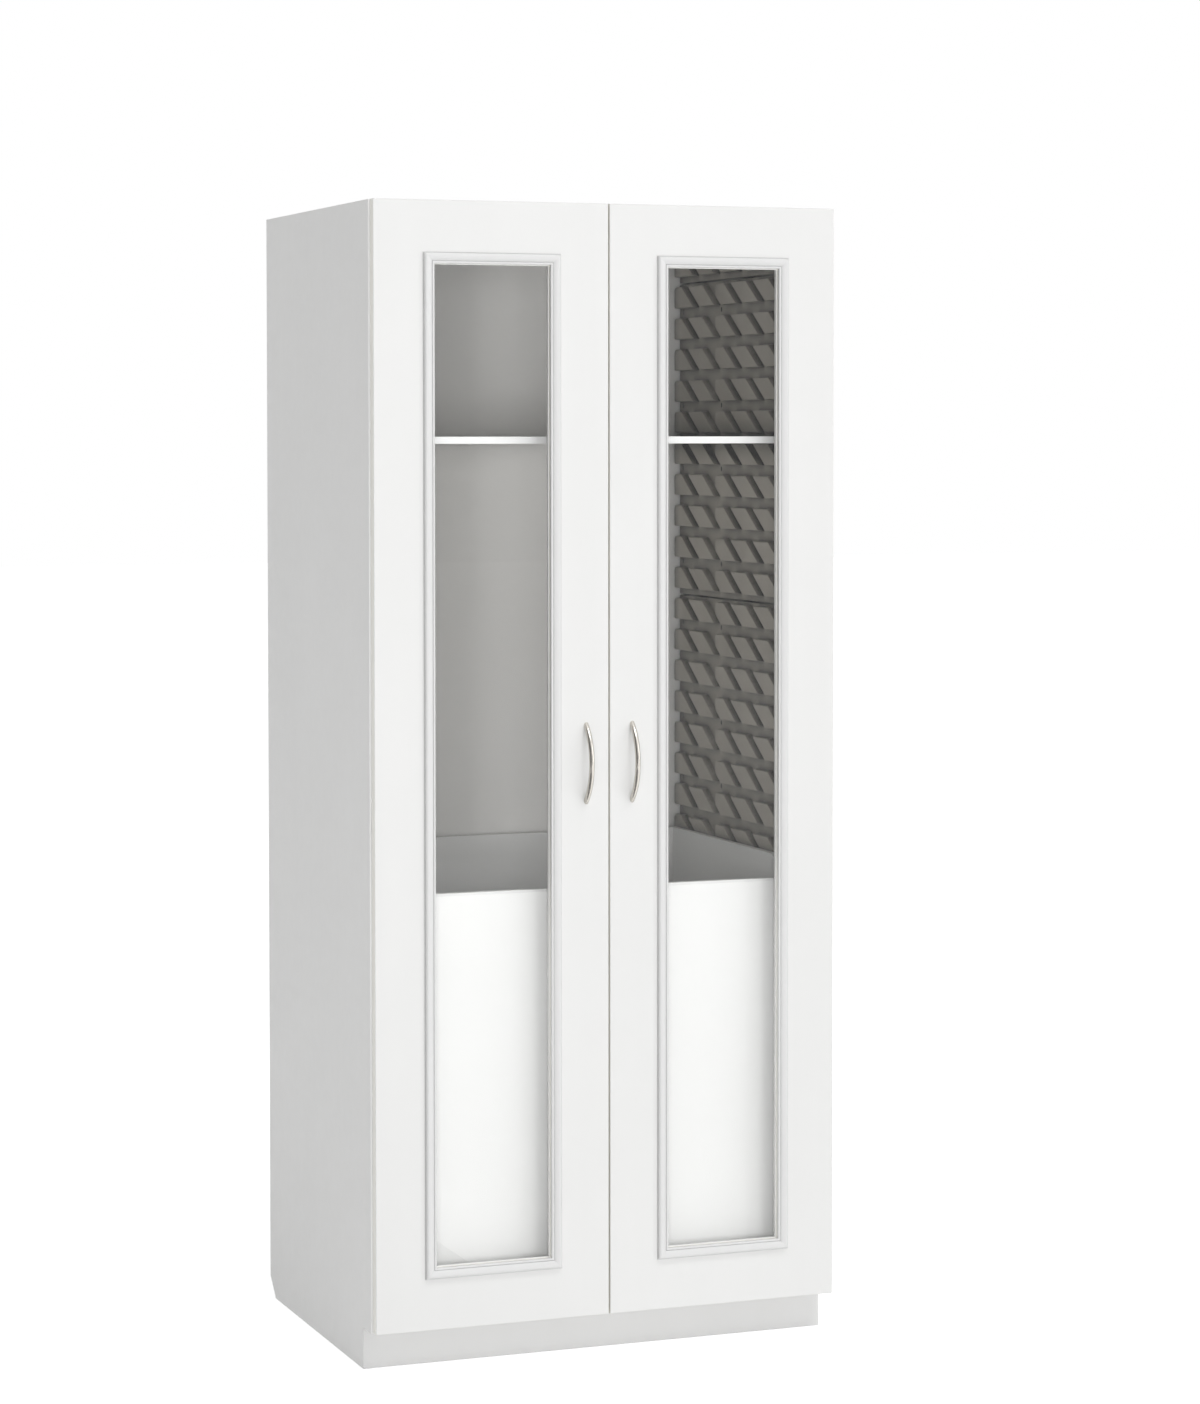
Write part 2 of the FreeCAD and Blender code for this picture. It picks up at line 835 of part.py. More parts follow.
def handle():
    """A bow of round rod. The bow's centre lies behind the door, whose face cuts its feet."""
    span = handle_span()
    x = -(s.meeting_gap / 2 + s.handle_from_edge)
    centre = at_depth(s.bow_radius - s.bow_rise)
    spans = []
    for index in range(BOW_SPANS):
        turn = Rotation(Vector(1, 0, 0), (index - (BOW_SPANS - 1) / 2) * BOW_SPAN_DEGREES)
        spans.append(copy_at(f"left_handle_span_{index + 1}", span, x, centre, s.handle_height, turn))
    bow = doc.addObject("Part::MultiFuse", "left_handle_bow")
    bow.Shapes = spans
    bow.Refine = False
    reach = s.bow_rise + s.rod_radius
    room = box(
        "left_handle_room",
        (s.rod_radius * 4, reach * 2, s.bow_radius * 2),
        (x - s.rod_radius * 2, front - reach * 2, s.handle_height - s.bow_radius),
    )
    both_sides("left_handle", join("Part::Common", "left_handle", bow, room))


def bumpers():
    """Two soft bumpers behind each door's free corners, against the top and the deck."""
    pads = []
    x = -(s.meeting_gap / 2 + s.bumper_inset)
    half = s.bumper_width / 2
    soft = body("bumper")
    base = rectangle(-half, -half, half, half)
    pad(soft, outline(soft, "XZ_Plane", [base]), s.door_gap - s.bumper_clearance, backwards=True)
    levels = (s.toe_height + s.deck_board / 2, s.cabinet_height - s.board / 2)
    for index, level in enumerate(levels, start=1):
        pads.append(copy_at(f"left_bumper_{index}", soft, x, at_depth(s.door_board), level))
    both_sides("left_door_bumpers", group("left_door_bumpers", pads))


def check_objects():
    """Stop on any failed object or bad shape before anything is written."""
    for thing in doc.Objects:
        if "Invalid" in thing.State or "Error" in thing.State:
            raise RuntimeError(f"{thing.Label} failed: {thing.State}")
    for node in nodes:
        if node.Shape.isNull() or not node.Shape.isValid() or not node.Shape.Solids:
            raise RuntimeError(f"{node.Label} has a bad shape")


def write_nodes():
    os.makedirs("parts", exist_ok=True)
    for node in nodes:
        node.Shape.exportStep(f"parts/{node.Label}.step")
    print(len(nodes), "nodes,", sum(len(node.Shape.Solids) for node in nodes), "solids")


case()
liners()
shelf()
slides()
bin_boards()
hinges()
door_panel()
window_mouldings()
window_pane()
handle()
bumpers()
doc.recompute()
check_objects()
write_nodes()
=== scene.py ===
"""The looks of the catheter storage cabinet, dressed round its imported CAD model.

Units are metres. Front is -Y, +X is to the right as seen from the front and +Z is up.
"""
import json
import math

import bmesh
import bpy
from mathutils import Matrix, Vector


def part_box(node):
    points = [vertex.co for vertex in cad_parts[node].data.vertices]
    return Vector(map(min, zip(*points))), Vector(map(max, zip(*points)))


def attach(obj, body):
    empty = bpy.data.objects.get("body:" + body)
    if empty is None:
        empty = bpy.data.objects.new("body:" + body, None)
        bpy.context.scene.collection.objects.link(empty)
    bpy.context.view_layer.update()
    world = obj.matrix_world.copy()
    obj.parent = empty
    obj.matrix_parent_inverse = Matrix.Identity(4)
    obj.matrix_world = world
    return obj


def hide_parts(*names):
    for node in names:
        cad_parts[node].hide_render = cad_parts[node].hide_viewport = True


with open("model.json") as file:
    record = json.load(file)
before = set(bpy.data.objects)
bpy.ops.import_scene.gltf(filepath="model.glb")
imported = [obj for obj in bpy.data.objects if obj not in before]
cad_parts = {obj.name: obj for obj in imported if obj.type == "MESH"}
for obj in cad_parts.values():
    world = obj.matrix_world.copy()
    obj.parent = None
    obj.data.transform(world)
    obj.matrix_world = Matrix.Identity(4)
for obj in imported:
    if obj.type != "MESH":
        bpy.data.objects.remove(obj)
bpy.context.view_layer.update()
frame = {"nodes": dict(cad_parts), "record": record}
nodes = frame["nodes"]
MM = 0.001
SIDES = ("left", "right")


# Materials

SKY_SAMPLES = 12


class Paint:
    """One Principled material with its node tree, and short ways to add texture to it."""

    def __init__(self, name):
        self.material = bpy.data.materials.new(name)
        self.material.use_nodes = True
        self.tree = self.material.node_tree
        self.shader = self.tree.nodes["Principled BSDF"]
        self.where = self.add("ShaderNodeTexCoord").outputs["Object"]

    def add(self, kind, **settings):
        """A new node of a kind, with these properties set."""
        node = self.tree.nodes.new(kind)
        for key, value in settings.items():
            setattr(node, key, value)
        return node

    def link(self, source, target):
        self.tree.links.new(source, target)

    def set(self, **values):
        """Sets inputs of the Principled shader, named with an underline for each space."""
        for key, value in values.items():
            self.shader.inputs[key.replace("_", " ")].default_value = value

    def stretched(self, scale):
        """The object's own coordinates, scaled along each axis."""
        mapping = self.add("ShaderNodeMapping")
        mapping.inputs["Scale"].default_value = scale
        self.link(self.where, mapping.inputs["Vector"])
        return mapping.outputs["Vector"]

    def noise(self, scale, detail=3.0, roughness=0.5, stretch=(1, 1, 1)):
        node = self.add("ShaderNodeTexNoise")
        node.inputs["Scale"].default_value = scale
        node.inputs["Detail"].default_value = detail
        node.inputs["Roughness"].default_value = roughness
        self.link(self.stretched(stretch), node.inputs["Vector"])
        return node.outputs["Fac"]

    def remap(self, value, low, high, start=0.3, end=0.7):
        """Carries a value between start and end over to the same place between low and high."""
        node = self.add("ShaderNodeMapRange")
        node.inputs["From Min"].default_value = start
        node.inputs["From Max"].default_value = end
        node.inputs["To Min"].default_value = low
        node.inputs["To Max"].default_value = high
        self.link(value, node.inputs["Value"])
        return node.outputs["Result"]

    def blend(self, factor, first, second):
        """A colour that goes from first to second, each a tuple or a socket, as factor rises."""
        node = self.add("ShaderNodeMix", data_type="RGBA")
        self.link(factor, node.inputs[0])
        for socket, colour in ((node.inputs[6], first), (node.inputs[7], second)):
            if isinstance(colour, tuple):
                socket.default_value = (*colour, 1)
            else:
                self.link(colour, socket)
        return node.outputs[2]

    def corners(self, reach, deep, clear):
        """A mask for painted shade: 1 in corners and 0 in the open, by how much of the sky within
        reach is covered.
        """
        sky = self.add("ShaderNodeAmbientOcclusion", samples=SKY_SAMPLES)
        sky.inputs["Distance"].default_value = reach
        return self.remap(sky.outputs["AO"], 1.0, 0.0, start=deep, end=clear)

    def colour(self, socket):
        self.link(socket, self.shader.inputs["Base Color"])

    def rough(self, value, low, high):
        self.link(self.remap(value, low, high), self.shader.inputs["Roughness"])

    def bump(self, height, distance):
        """Relief that is as deep as distance where height is 1."""
        node = self.add("ShaderNodeBump")
        node.inputs["Strength"].default_value = 1.0
        node.inputs["Distance"].default_value = distance
        self.link(height, node.inputs["Height"])
        self.link(node.outputs["Normal"], self.shader.inputs["Normal"])

    def surface(self, shader):
        """Puts another shader in the Principled one's place."""
        self.link(shader, self.tree.nodes["Material Output"].inputs["Surface"])


def shade(colour, factor):
    """The colour made darker, or lighter where factor is over 1."""
    return tuple(channel * factor for channel in colour)


def any_ray(tree, *kinds):
    """1 for rays of any of these kinds, and 0 for the rest."""
    path = tree.nodes.new("ShaderNodeLightPath")
    found = path.outputs[kinds[0]]
    for kind in kinds[1:]:
        either = tree.nodes.new("ShaderNodeMath")
        either.operation = "MAXIMUM"
        tree.links.new(found, either.inputs[0])
        tree.links.new(path.outputs[kind], either.inputs[1])
        found = either.outputs[0]
    return found


# How far the painted shade in cavities and on the battens looks for covering parts
CAVITY_SHADE_REACH = 80 * MM
BATTEN_SHADE_REACH = 60 * MM


def laminate(
    name, colour, roughness=(0.36, 0.5), peel=0.05 * MM, edge=None, recess=0.0, cavity_shade=None
):
    """Smooth white board facing: faint broad clouding, fine vertical streaks and orange peel.

    peel is how deep the orange peel is. edge is the colour of an edge band on the faces that
    look sideways, up or down. Within the distance recess of a corner the facing gets painted
    shade, half as bright. The last argument holds two shares of open sky for painted shade:
    with less than the first the facing is nearly black, as behind a liner, and with more than
    the second it is clear.
    """
    paint = Paint(name)
    clouds = paint.noise(3.2, detail=2.0)
    streaks = paint.noise(26, detail=4.0, stretch=(1, 1, 0.04))
    specks = paint.noise(900, detail=2.0)
    tone = paint.blend(paint.remap(clouds, 0.0, 1.0), shade(colour, 0.982), colour)
    tone = paint.blend(paint.remap(streaks, 0.0, 0.35), tone, shade(colour, 0.965))
    tone = paint.blend(paint.remap(specks, 0.0, 0.12), tone, shade(colour, 0.93))
    if edge:
        facing = paint.add("ShaderNodeSeparateXYZ")
        own_normal = paint.add("ShaderNodeTexCoord").outputs["Normal"]
        paint.link(own_normal, facing.inputs[0])
        frontal = paint.add("ShaderNodeMath", operation="ABSOLUTE")
        paint.link(facing.outputs["Y"], frontal.inputs[0])
        banded = paint.remap(frontal.outputs[0], 1.0, 0.0, start=0.25, end=0.45)
        tone = paint.blend(banded, tone, edge)
    # Painted shade, half as bright, near corners
    if recess:
        tone = paint.blend(paint.corners(recess, deep=0.35, clear=0.9), tone, shade(colour, 0.5))
    # Painted shade, nearly black, in deep cavities
    if cavity_shade:
        tone = paint.blend(paint.corners(CAVITY_SHADE_REACH, *cavity_shade), tone, shade(colour, 0.02))
    paint.colour(tone)
    paint.rough(paint.noise(60, detail=4.0), *roughness)
    paint.bump(paint.noise(420, detail=3.0), peel)
    paint.set(Specular_IOR_Level=0.42)
    return paint.material


def moulded_plastic(name, colour, roughness=(0.4, 0.58), grain=0.08 * MM, recess=0.0):
    """Moulded plastic with a fine spark-eroded grain, and painted shade, nearly black, within
    recess of a corner.
    """
    paint = Paint(name)
    clouds = paint.noise(9, detail=3.0)
    grains = paint.noise(1400, detail=2.0)
    tone = paint.blend(paint.remap(clouds, 0.0, 1.0), shade(colour, 0.93), shade(colour, 1.04))
    tone = paint.blend(paint.remap(grains, 0.0, 0.3), tone, shade(colour, 0.82))
    # Painted shade, nearly black, in corners and slots
    if recess:
        tone = paint.blend(paint.corners(recess, deep=0.25, clear=0.97), tone, shade(colour, 0.06))
    paint.colour(tone)
    paint.rough(paint.noise(45, detail=4.0), *roughness)
    paint.bump(grains, grain)
    paint.set(Specular_IOR_Level=0.4)
    return paint.material


def timber(name, pale, dark):
    """Planed softwood, its grain running up the batten, with painted shade, nearly black, where
    other parts cover it.
    """
    paint = Paint(name)
    rings = paint.noise(55, detail=6.0, roughness=0.6, stretch=(1, 1, 0.05))
    fibres = paint.noise(700, detail=3.0, stretch=(1, 1, 0.03))
    tone = paint.blend(paint.remap(rings, 0.0, 1.0), pale, dark)
    tone = paint.blend(paint.remap(fibres, 0.0, 0.35), tone, shade(dark, 0.7))
    # Painted shade where little open sky is within reach
    painted_shade = paint.corners(BATTEN_SHADE_REACH, deep=0.4, clear=0.85)
    tone = paint.blend(painted_shade, tone, shade(dark, 0.02))
    paint.colour(tone)
    paint.rough(fibres, 0.55, 0.72)
    paint.bump(fibres, 0.2 * MM)
    return paint.material


def metal(name, colour, roughness, stretch, scale=900):
    """Plated or brushed metal with fine marks that run along stretch's small axis."""
    paint = Paint(name)
    marks = paint.noise(scale, detail=4.0, roughness=0.6, stretch=stretch)
    clouds = paint.noise(30, detail=3.0)
    tone = paint.blend(paint.remap(clouds, 0.0, 1.0), shade(colour, 0.93), colour)
    tone = paint.blend(paint.remap(marks, 0.0, 0.4), tone, shade(colour, 0.84))
    paint.colour(tone)
    paint.rough(marks, *roughness)
    paint.bump(marks, 0.02 * MM)
    paint.set(Metallic=1.0)
    return paint.material


def clear_glass(name):
    """Clear glazing that lamps shine straight through, with a trace of smear in its gloss."""
    paint = Paint(name)
    paint.set(Base_Color=(0.99, 0.995, 0.992, 1), IOR=1.5, Transmission_Weight=1.0)
    paint.rough(paint.noise(8, detail=5.0), 0.0, 0.002)
    passing = paint.add("ShaderNodeBsdfTransparent")
    passing.inputs["Color"].default_value = (0.995, 0.995, 0.995, 1)
    mix = paint.add("ShaderNodeMixShader")
    paint.link(any_ray(paint.tree, "Is Shadow Ray", "Is Diffuse Ray"), mix.inputs[0])
    paint.link(paint.shader.outputs[0], mix.inputs[1])
    paint.link(passing.outputs[0], mix.inputs[2])
    paint.surface(mix.outputs[0])
    return paint.material


WHITE = (0.79, 0.79, 0.782)
finishes = {
    "white_laminate": laminate("white laminate", WHITE),
    # The moulding is a darker white than the boards as painted shade on its slopes, with more
    # painted shade within its recess reach of a corner.
    "white_moulding": laminate(
        "white moulding", (0.73, 0.73, 0.728), (0.3, 0.42), peel=0.03 * MM, recess=7 * MM
    ),
    # The edge band's white is partly its own, and lighter than the boards as painted light on the
    # front edges.
    "white_edge_band": laminate(
        "white edge band", (0.93, 0.93, 0.925), (0.28, 0.38), peel=0.02 * MM
    ),
    # The liner gets painted shade, nearly black, within its recess reach, in its slots and
    # channels.
    "grey_liner": moulded_plastic(
        "grey liner", (0.488, 0.454, 0.4), (0.3, 0.42), recess=45 * MM
    ),
    "batten_timber": timber("batten timber", (0.72, 0.71, 0.68), (0.63, 0.61, 0.57)),
    "clear_pane": clear_glass("clear pane"),
    "glazing_stop": laminate("glazing stop", (0.78, 0.78, 0.77), (0.4, 0.55)),
    "satin_nickel": metal("satin nickel", (0.67, 0.64, 0.59), (0.18, 0.3), (1, 1, 0.05)),
    "plated_hinge": metal(
        "plated hinge", (0.66, 0.655, 0.64), (0.16, 0.3), (1, 0.15, 1), scale=500
    ),
    "zinc_slide": metal("zinc slide", (0.56, 0.58, 0.6), (0.28, 0.46), (1, 0.08, 1), scale=500),
    "bumper_rubber": moulded_plastic("bumper rubber", (0.42, 0.42, 0.41), (0.55, 0.7)),
}
# The side panels get painted shade, nearly black, where the liners cover their inner faces.
side_white_painted_shade = laminate("side white", WHITE, cavity_shade=(0.12, 0.26))
# The doors' edge band is partly cream of its own, and lighter than the face as painted light for
# the shaded gaps.
door_white_lightened_edge = laminate("door white", WHITE, edge=(0.88, 0.87, 0.82))
# The back panel, deck and shelf are a lighter white than the case as painted light for the dim
# inside, with painted shade, nearly black, in deep cavities.
interior_white_painted_light_and_shade = laminate("interior white", (0.94, 0.93, 0.91), cavity_shade=(0.1, 0.22))
# The shelf's edge band is a lighter white than the other bands as painted light for the dim inside.
shelf_edge_lightened_white = laminate(
    "shelf edge white", (0.97, 0.97, 0.965), (0.28, 0.38), peel=0.02 * MM
)
# The bin is a lighter white than the case as painted light for its place behind the glass.
bin_lightened_white = laminate("bin white", (0.86, 0.86, 0.85))
# The toe kick is a darker white than the case as painted shade under the doors' overhang.
toe_shaded_white = laminate("toe white", (0.73, 0.73, 0.725))
gasket_white = moulded_plastic(
    "gasket white", (0.88, 0.88, 0.87), (0.3, 0.45), grain=0.02 * MM
)


def dress(obj, finish):
    """Gives a whole object one finish."""
    material = finishes[finish] if isinstance(finish, str) else finish
    if obj.data.materials:
        for index in range(len(obj.data.materials)):
            obj.data.materials[index] = material
    else:
        obj.data.materials.append(material)


slot_of = {row["node"]: row["material_slot"] for row in frame["record"]["subparts"]}
for node_name, node_object in nodes.items():
    dress(node_object, slot_of[node_name])
for node_name in ("back_panel", "bottom_deck", "shelf"):
    dress(nodes[node_name], interior_white_painted_light_and_shade)
for node_name in ("bin_front", "bin_left_side", "bin_right_side", "bin_back", "bin_floor"):
    dress(nodes[node_name], bin_lightened_white)
dress(nodes["toe_kick_board"], toe_shaded_white)
dress(nodes["shelf_edge_band"], shelf_edge_lightened_white)
for side in SIDES:
    dress(nodes[f"{side}_door_panel"], door_white_lightened_edge)
    dress(nodes[f"{side}_side_panel"], side_white_painted_shade)


# Edges of the CAD parts

EDGE_ROUND = 0.7 * MM
WELD_REACH = 0.02 * MM
FLAT_ANGLE = math.radians(0.6)
SHARP_ANGLE = math.radians(40)


def soften(node_name):
    """Rounds the sharp edges of a CAD node as it is drawn, and leaves its mesh alone."""
    obj = nodes[node_name]
    obj.modifiers.new("weld", "WELD").merge_threshold = WELD_REACH
    flat = obj.modifiers.new("flat", "DECIMATE")
    flat.decimate_type = "DISSOLVE"
    flat.angle_limit = FLAT_ANGLE
    round_off = obj.modifiers.new("edge", "BEVEL")
    round_off.width = EDGE_ROUND
    round_off.segments = 2
    round_off.limit_method = "ANGLE"
    round_off.angle_limit = SHARP_ANGLE
    round_off.use_clamp_overlap = True
    even = obj.modifiers.new("even", "WEIGHTED_NORMAL")
    even.keep_sharp = False
    even.weight = 60


BOARDS = (
    "left_side_panel", "right_side_panel", "top_panel", "bottom_deck", "back_panel",
    "toe_kick_board", "rear_toe_rail", "shelf", "bin_front", "bin_left_side",
    "bin_right_side", "bin_back", "bin_floor", "left_door_panel", "right_door_panel",
)
for node_name in BOARDS:
    soften(node_name)


# Pieces made here


def object_of(name, mesh):
    """Turns a bmesh into an object in the scene."""
    data = bpy.data.meshes.new(name)
    mesh.to_mesh(data)
    mesh.free()
    obj = bpy.data.objects.new(name, data)
    bpy.context.scene.collection.objects.link(obj)
    return obj


def piece(name, mesh, body, finish):
    """Makes an object of a bmesh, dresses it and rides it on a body."""
    bmesh.ops.recalc_face_normals(mesh, faces=mesh.faces)
    obj = object_of(name, mesh)
    dress(obj, finish)
    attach(obj, body)
    return obj


def pairs_round(loop):
    """Each item of a closed loop with the one after it."""
    return zip(loop, loop[1:] + loop[:1])


def wrap(mesh, first, second):
    """A band of four-sided faces between two rings with as many vertices."""
    for (near, after), (over, over_after) in zip(pairs_round(first), pairs_round(second)):
        mesh.faces.new((near, after, over_after, over))


def fill(mesh, loops):
    """Fills the area inside the first closed loop of vertices and outside the others."""
    edges = []
    for loop in loops:
        for pair in pairs_round(loop):
            edges.append(mesh.edges.get(pair) or mesh.edges.new(pair))
    bmesh.ops.triangle_fill(mesh, edges=edges, use_beauty=True)


def inward(side):
    """The X direction from a side of the cabinet to its middle."""
    return 1 if side == "left" else -1


def smooth(obj, angle):
    """Smooth shading that keeps edges sharper than an angle in degrees."""
    for polygon in obj.data.polygons:
        polygon.use_smooth = True
    shared = bmesh.new()
    shared.from_mesh(obj.data)
    for edge in shared.edges:
        if len(edge.link_faces) == 2:
            edge.smooth = edge.calc_face_angle(0) < math.radians(angle)
    shared.to_mesh(obj.data)
    shared.free()


# Edge bands on the front edges of the case, and the strip across the toe kick

BAND = 0.8 * MM
BAND_ROUND = 0.6 * MM
TOE_STRIP_GAP = 0.3 * MM
SIDE_BAND_GAP = 1 * MM


def edge_band(name, low, high, finish="white_edge_band"):
    """A band glued on the front of a board, proud of it towards -Y, its front edges rounded."""
    mesh = bmesh.new()
    box = bmesh.ops.create_cube(mesh, size=1)
    middle = Vector(((low.x + high.x) / 2, low.y - BAND / 2, (low.z + high.z) / 2))
    bmesh.ops.scale(mesh, vec=(high.x - low.x, BAND, high.z - low.z), verts=box["verts"])
    bmesh.ops.translate(mesh, vec=middle, verts=box["verts"])
    front_edges = [edge for edge in mesh.edges if all(v.co.y < middle.y for v in edge.verts)]
    bmesh.ops.bevel(
        mesh, geom=front_edges, offset=BAND_ROUND, segments=3, affect="EDGES", profile=0.5
    )
    smooth(piece(name, mesh, "cabinet", finish), angle=40)


def toe_kick_strip():
    """The facing that runs across the toe kick and the ends of the side panels."""
    low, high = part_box("toe_kick_board")
    case_left, case_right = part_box("left_side_panel")[0].x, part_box("right_side_panel")[1].x
    strip_low = Vector((case_left, low.y, low.z + TOE_STRIP_GAP))
    strip_high = Vector((case_right, low.y, high.z - TOE_STRIP_GAP))
    edge_band("toe_kick_strip", strip_low, strip_high, toe_shaded_white)


def side_edge_band(side):
    """The band on a side panel, from just above the toe kick to the top."""
    low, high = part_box(f"{side}_side_panel")
    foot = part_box("toe_kick_board")[1].z + SIDE_BAND_GAP
    edge_band(f"{side}_side_edge_band", Vector((low.x, low.y, foot)), high)


toe_kick_strip()
for side in SIDES:
    side_edge_band(side)
for board in ("top_panel", "bottom_deck"):
    edge_band(f"{board}_edge_band", *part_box(board))


# Bow handles

ARC_RADIUS = 98 * MM
ARC_REACH = math.radians(48)
ROD_RADIUS = 5 * MM
ARC_STEPS = 96
ROD_STEPS = 32


def bow_handle(side):
    """One round rod on an arc, cut off flush at the door's face."""
    low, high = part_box(f"{side}_handle")
    middle = (low + high) / 2
    door_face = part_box(f"{side}_door_panel")[0].y
    centre = Vector((middle.x, low.y + ROD_RADIUS + ARC_RADIUS, middle.z))
    mesh = bmesh.new()
    rings = []
    for step in range(ARC_STEPS + 1):
        turn = -ARC_REACH + 2 * ARC_REACH * step / ARC_STEPS
        out = Vector((0, -math.cos(turn), math.sin(turn)))
        ring = []
        for tick in range(ROD_STEPS):
            round_rod = 2 * math.pi * tick / ROD_STEPS
            across = Vector((1, 0, 0)) * math.cos(round_rod) + out * math.sin(round_rod)
            ring.append(mesh.verts.new(centre + out * ARC_RADIUS + across * ROD_RADIUS))
        rings.append(ring)
    for lower, upper in zip(rings, rings[1:]):
        wrap(mesh, lower, upper)
    every = mesh.verts[:] + mesh.edges[:] + mesh.faces[:]
    cut = bmesh.ops.bisect_plane(
        mesh, geom=every, plane_co=(0, door_face, 0), plane_no=(0, 1, 0), clear_outer=True
    )
    rim = [item for item in cut["geom_cut"] if isinstance(item, bmesh.types.BMEdge)]
    bmesh.ops.holes_fill(mesh, edges=rim, sides=0)
    handle = piece(f"{side}_bow_handle", mesh, f"{side}_door", "satin_nickel")
    smooth(handle, angle=50)
    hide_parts(f"{side}_handle")


for side in SIDES:
    bow_handle(side)


# Gaskets that show round the panes


def ring_strip(mesh, low, high, y_front, y_back, width):
    """A closed rectangular frame of the given strip width, between two depths."""
    outer = [(low.x, low.z), (high.x, low.z), (high.x, high.z), (low.x, high.z)]
    inner = [
        (low.x + width, low.z + width), (high.x - width, low.z + width),
        (high.x - width, high.z - width), (low.x + width, high.z - width),
    ]
    loops = []
    for y, corners in ((y_front, outer), (y_front, inner), (y_back, inner), (y_back, outer)):
        loops.append([mesh.verts.new((x, y, z)) for x, z in corners])
    for first, second in pairs_round(loops):
        wrap(mesh, first, second)


GASKET_WIDTH = 1.6 * MM
GASKET_PROUD = 0.8 * MM


def pane_gasket(side):
    """A strip on the pane's face, along the inner edges of the four moulding lengths."""
    glass_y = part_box(f"{side}_door_glass")[0].y
    inner_low, inner_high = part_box(f"{side}_moulding_inner")
    outer_low, outer_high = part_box(f"{side}_moulding_outer")
    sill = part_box(f"{side}_moulding_bottom")[1].z
    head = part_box(f"{side}_moulding_top")[0].z
    sight_low = Vector((min(inner_high.x, outer_high.x), 0, sill))
    sight_high = Vector((max(inner_low.x, outer_low.x), 0, head))
    mesh = bmesh.new()
    ring_strip(mesh, sight_low, sight_high, glass_y - GASKET_PROUD, glass_y, GASKET_WIDTH)
    piece(f"{side}_pane_gasket", mesh, f"{side}_door", gasket_white)


for side in SIDES:
    pane_gasket(side)


# Screws

HEAD_SIDES = 24
# The shares of a head's radius and height at each step of its rounded side
HEAD_STEPS = ((1.0, 0.0), (1.0, 0.35), (0.93, 0.68), (0.78, 0.9), (0.62, 1.0))
# The cross: its arms' length and half width as shares of the radius, its floor's level as a
# share of the height, and how wide its floor is beside its mouth
CROSS_ARM = 0.48
CROSS_HALF_WIDTH = 0.12
CROSS_FLOOR_LEVEL = 0.25
CROSS_FLOOR_WIDTH = 0.8
# The turn from one screw of a set to the next, in radians
SCREW_TURN = 0.9
# Things in one node that are further apart than this are separate
LEVEL_GAP = 20 * MM


def cross_screw(mesh, at, facing, radius, height, turn):
    """A pan head with a cross recess cut into it, standing on a surface that faces out."""
    facing = Vector(facing).normalized()
    side_on = facing.orthogonal().normalized()
    standing = Matrix((side_on, facing.cross(side_on), facing)).transposed()
    turned = Matrix.Rotation(turn, 3, facing) @ standing
    at = Vector(at)

    def vert(x, y, z):
        return mesh.verts.new(at + turned @ Vector((x, y, z)))

    rings = []
    for share, level in HEAD_STEPS:
        ring = []
        for tick in range(HEAD_SIDES):
            angle = 2 * math.pi * tick / HEAD_SIDES
            across, along = radius * share * math.cos(angle), radius * share * math.sin(angle)
            ring.append(vert(across, along, height * level))
        rings.append(ring)
    for lower, upper in zip(rings, rings[1:]):
        wrap(mesh, lower, upper)
    arm, slot, deep = radius * CROSS_ARM, radius * CROSS_HALF_WIDTH, height * CROSS_FLOOR_LEVEL
    corners = [
        (arm, -slot), (arm, slot), (slot, slot), (slot, arm), (-slot, arm), (-slot, slot),
        (-arm, slot), (-arm, -slot), (-slot, -slot), (-slot, -arm), (slot, -arm), (slot, -slot),
    ]
    top = [vert(x, y, height) for x, y in corners]
    sunk = [vert(x * CROSS_FLOOR_WIDTH, y * CROSS_FLOOR_WIDTH, deep) for x, y in corners]
    fill(mesh, (rings[-1], top))
    wrap(mesh, top, sunk)
    mesh.faces.new(sunk)


def levels_of(node_name):
    """The middle heights of the separate things in one node, found by the gaps between them."""
    heights = sorted({round(v.co.z, 4) for v in nodes[node_name].data.vertices})
    runs = [[heights[0], heights[0]]]
    for height in heights[1:]:
        if height - runs[-1][1] > LEVEL_GAP:
            runs.append([height, height])
        runs[-1][1] = height
    return [(low + high) / 2 for low, high in runs]


def screw_set(name, body, size, places, facing):
    """One piece holding a set of equal screws, each turned a little differently."""
    radius, height = size
    mesh = bmesh.new()
    for index, at in enumerate(places):
        cross_screw(mesh, at, facing, radius, height, SCREW_TURN * index)
    smooth(piece(name, mesh, body, "plated_hinge"), angle=40)


# Radius and height of each kind of screw's head
CUP_SCREW = (3.6 * MM, 1.5 * MM)
WING_SCREW = (4.0 * MM, 1.8 * MM)
ARM_SCREW = (3.0 * MM, 0.9 * MM)
HANDLE_SCREW = (4.4 * MM, 2.2 * MM)
# Where they stand: from the middle of a hinge or handle, or in from the end of a plate's core
CUP_SCREW_OFFSET = 22 * MM
WING_SCREW_OFFSET = 15.5 * MM
ARM_SCREW_INSET = 8 * MM
HANDLE_SCREW_OFFSET = 66 * MM
# How far the faces of a mounting plate's wing and of a hinge arm stand off the side panel
WING_FACE = 2 * MM
ARM_FACE = 13 * MM


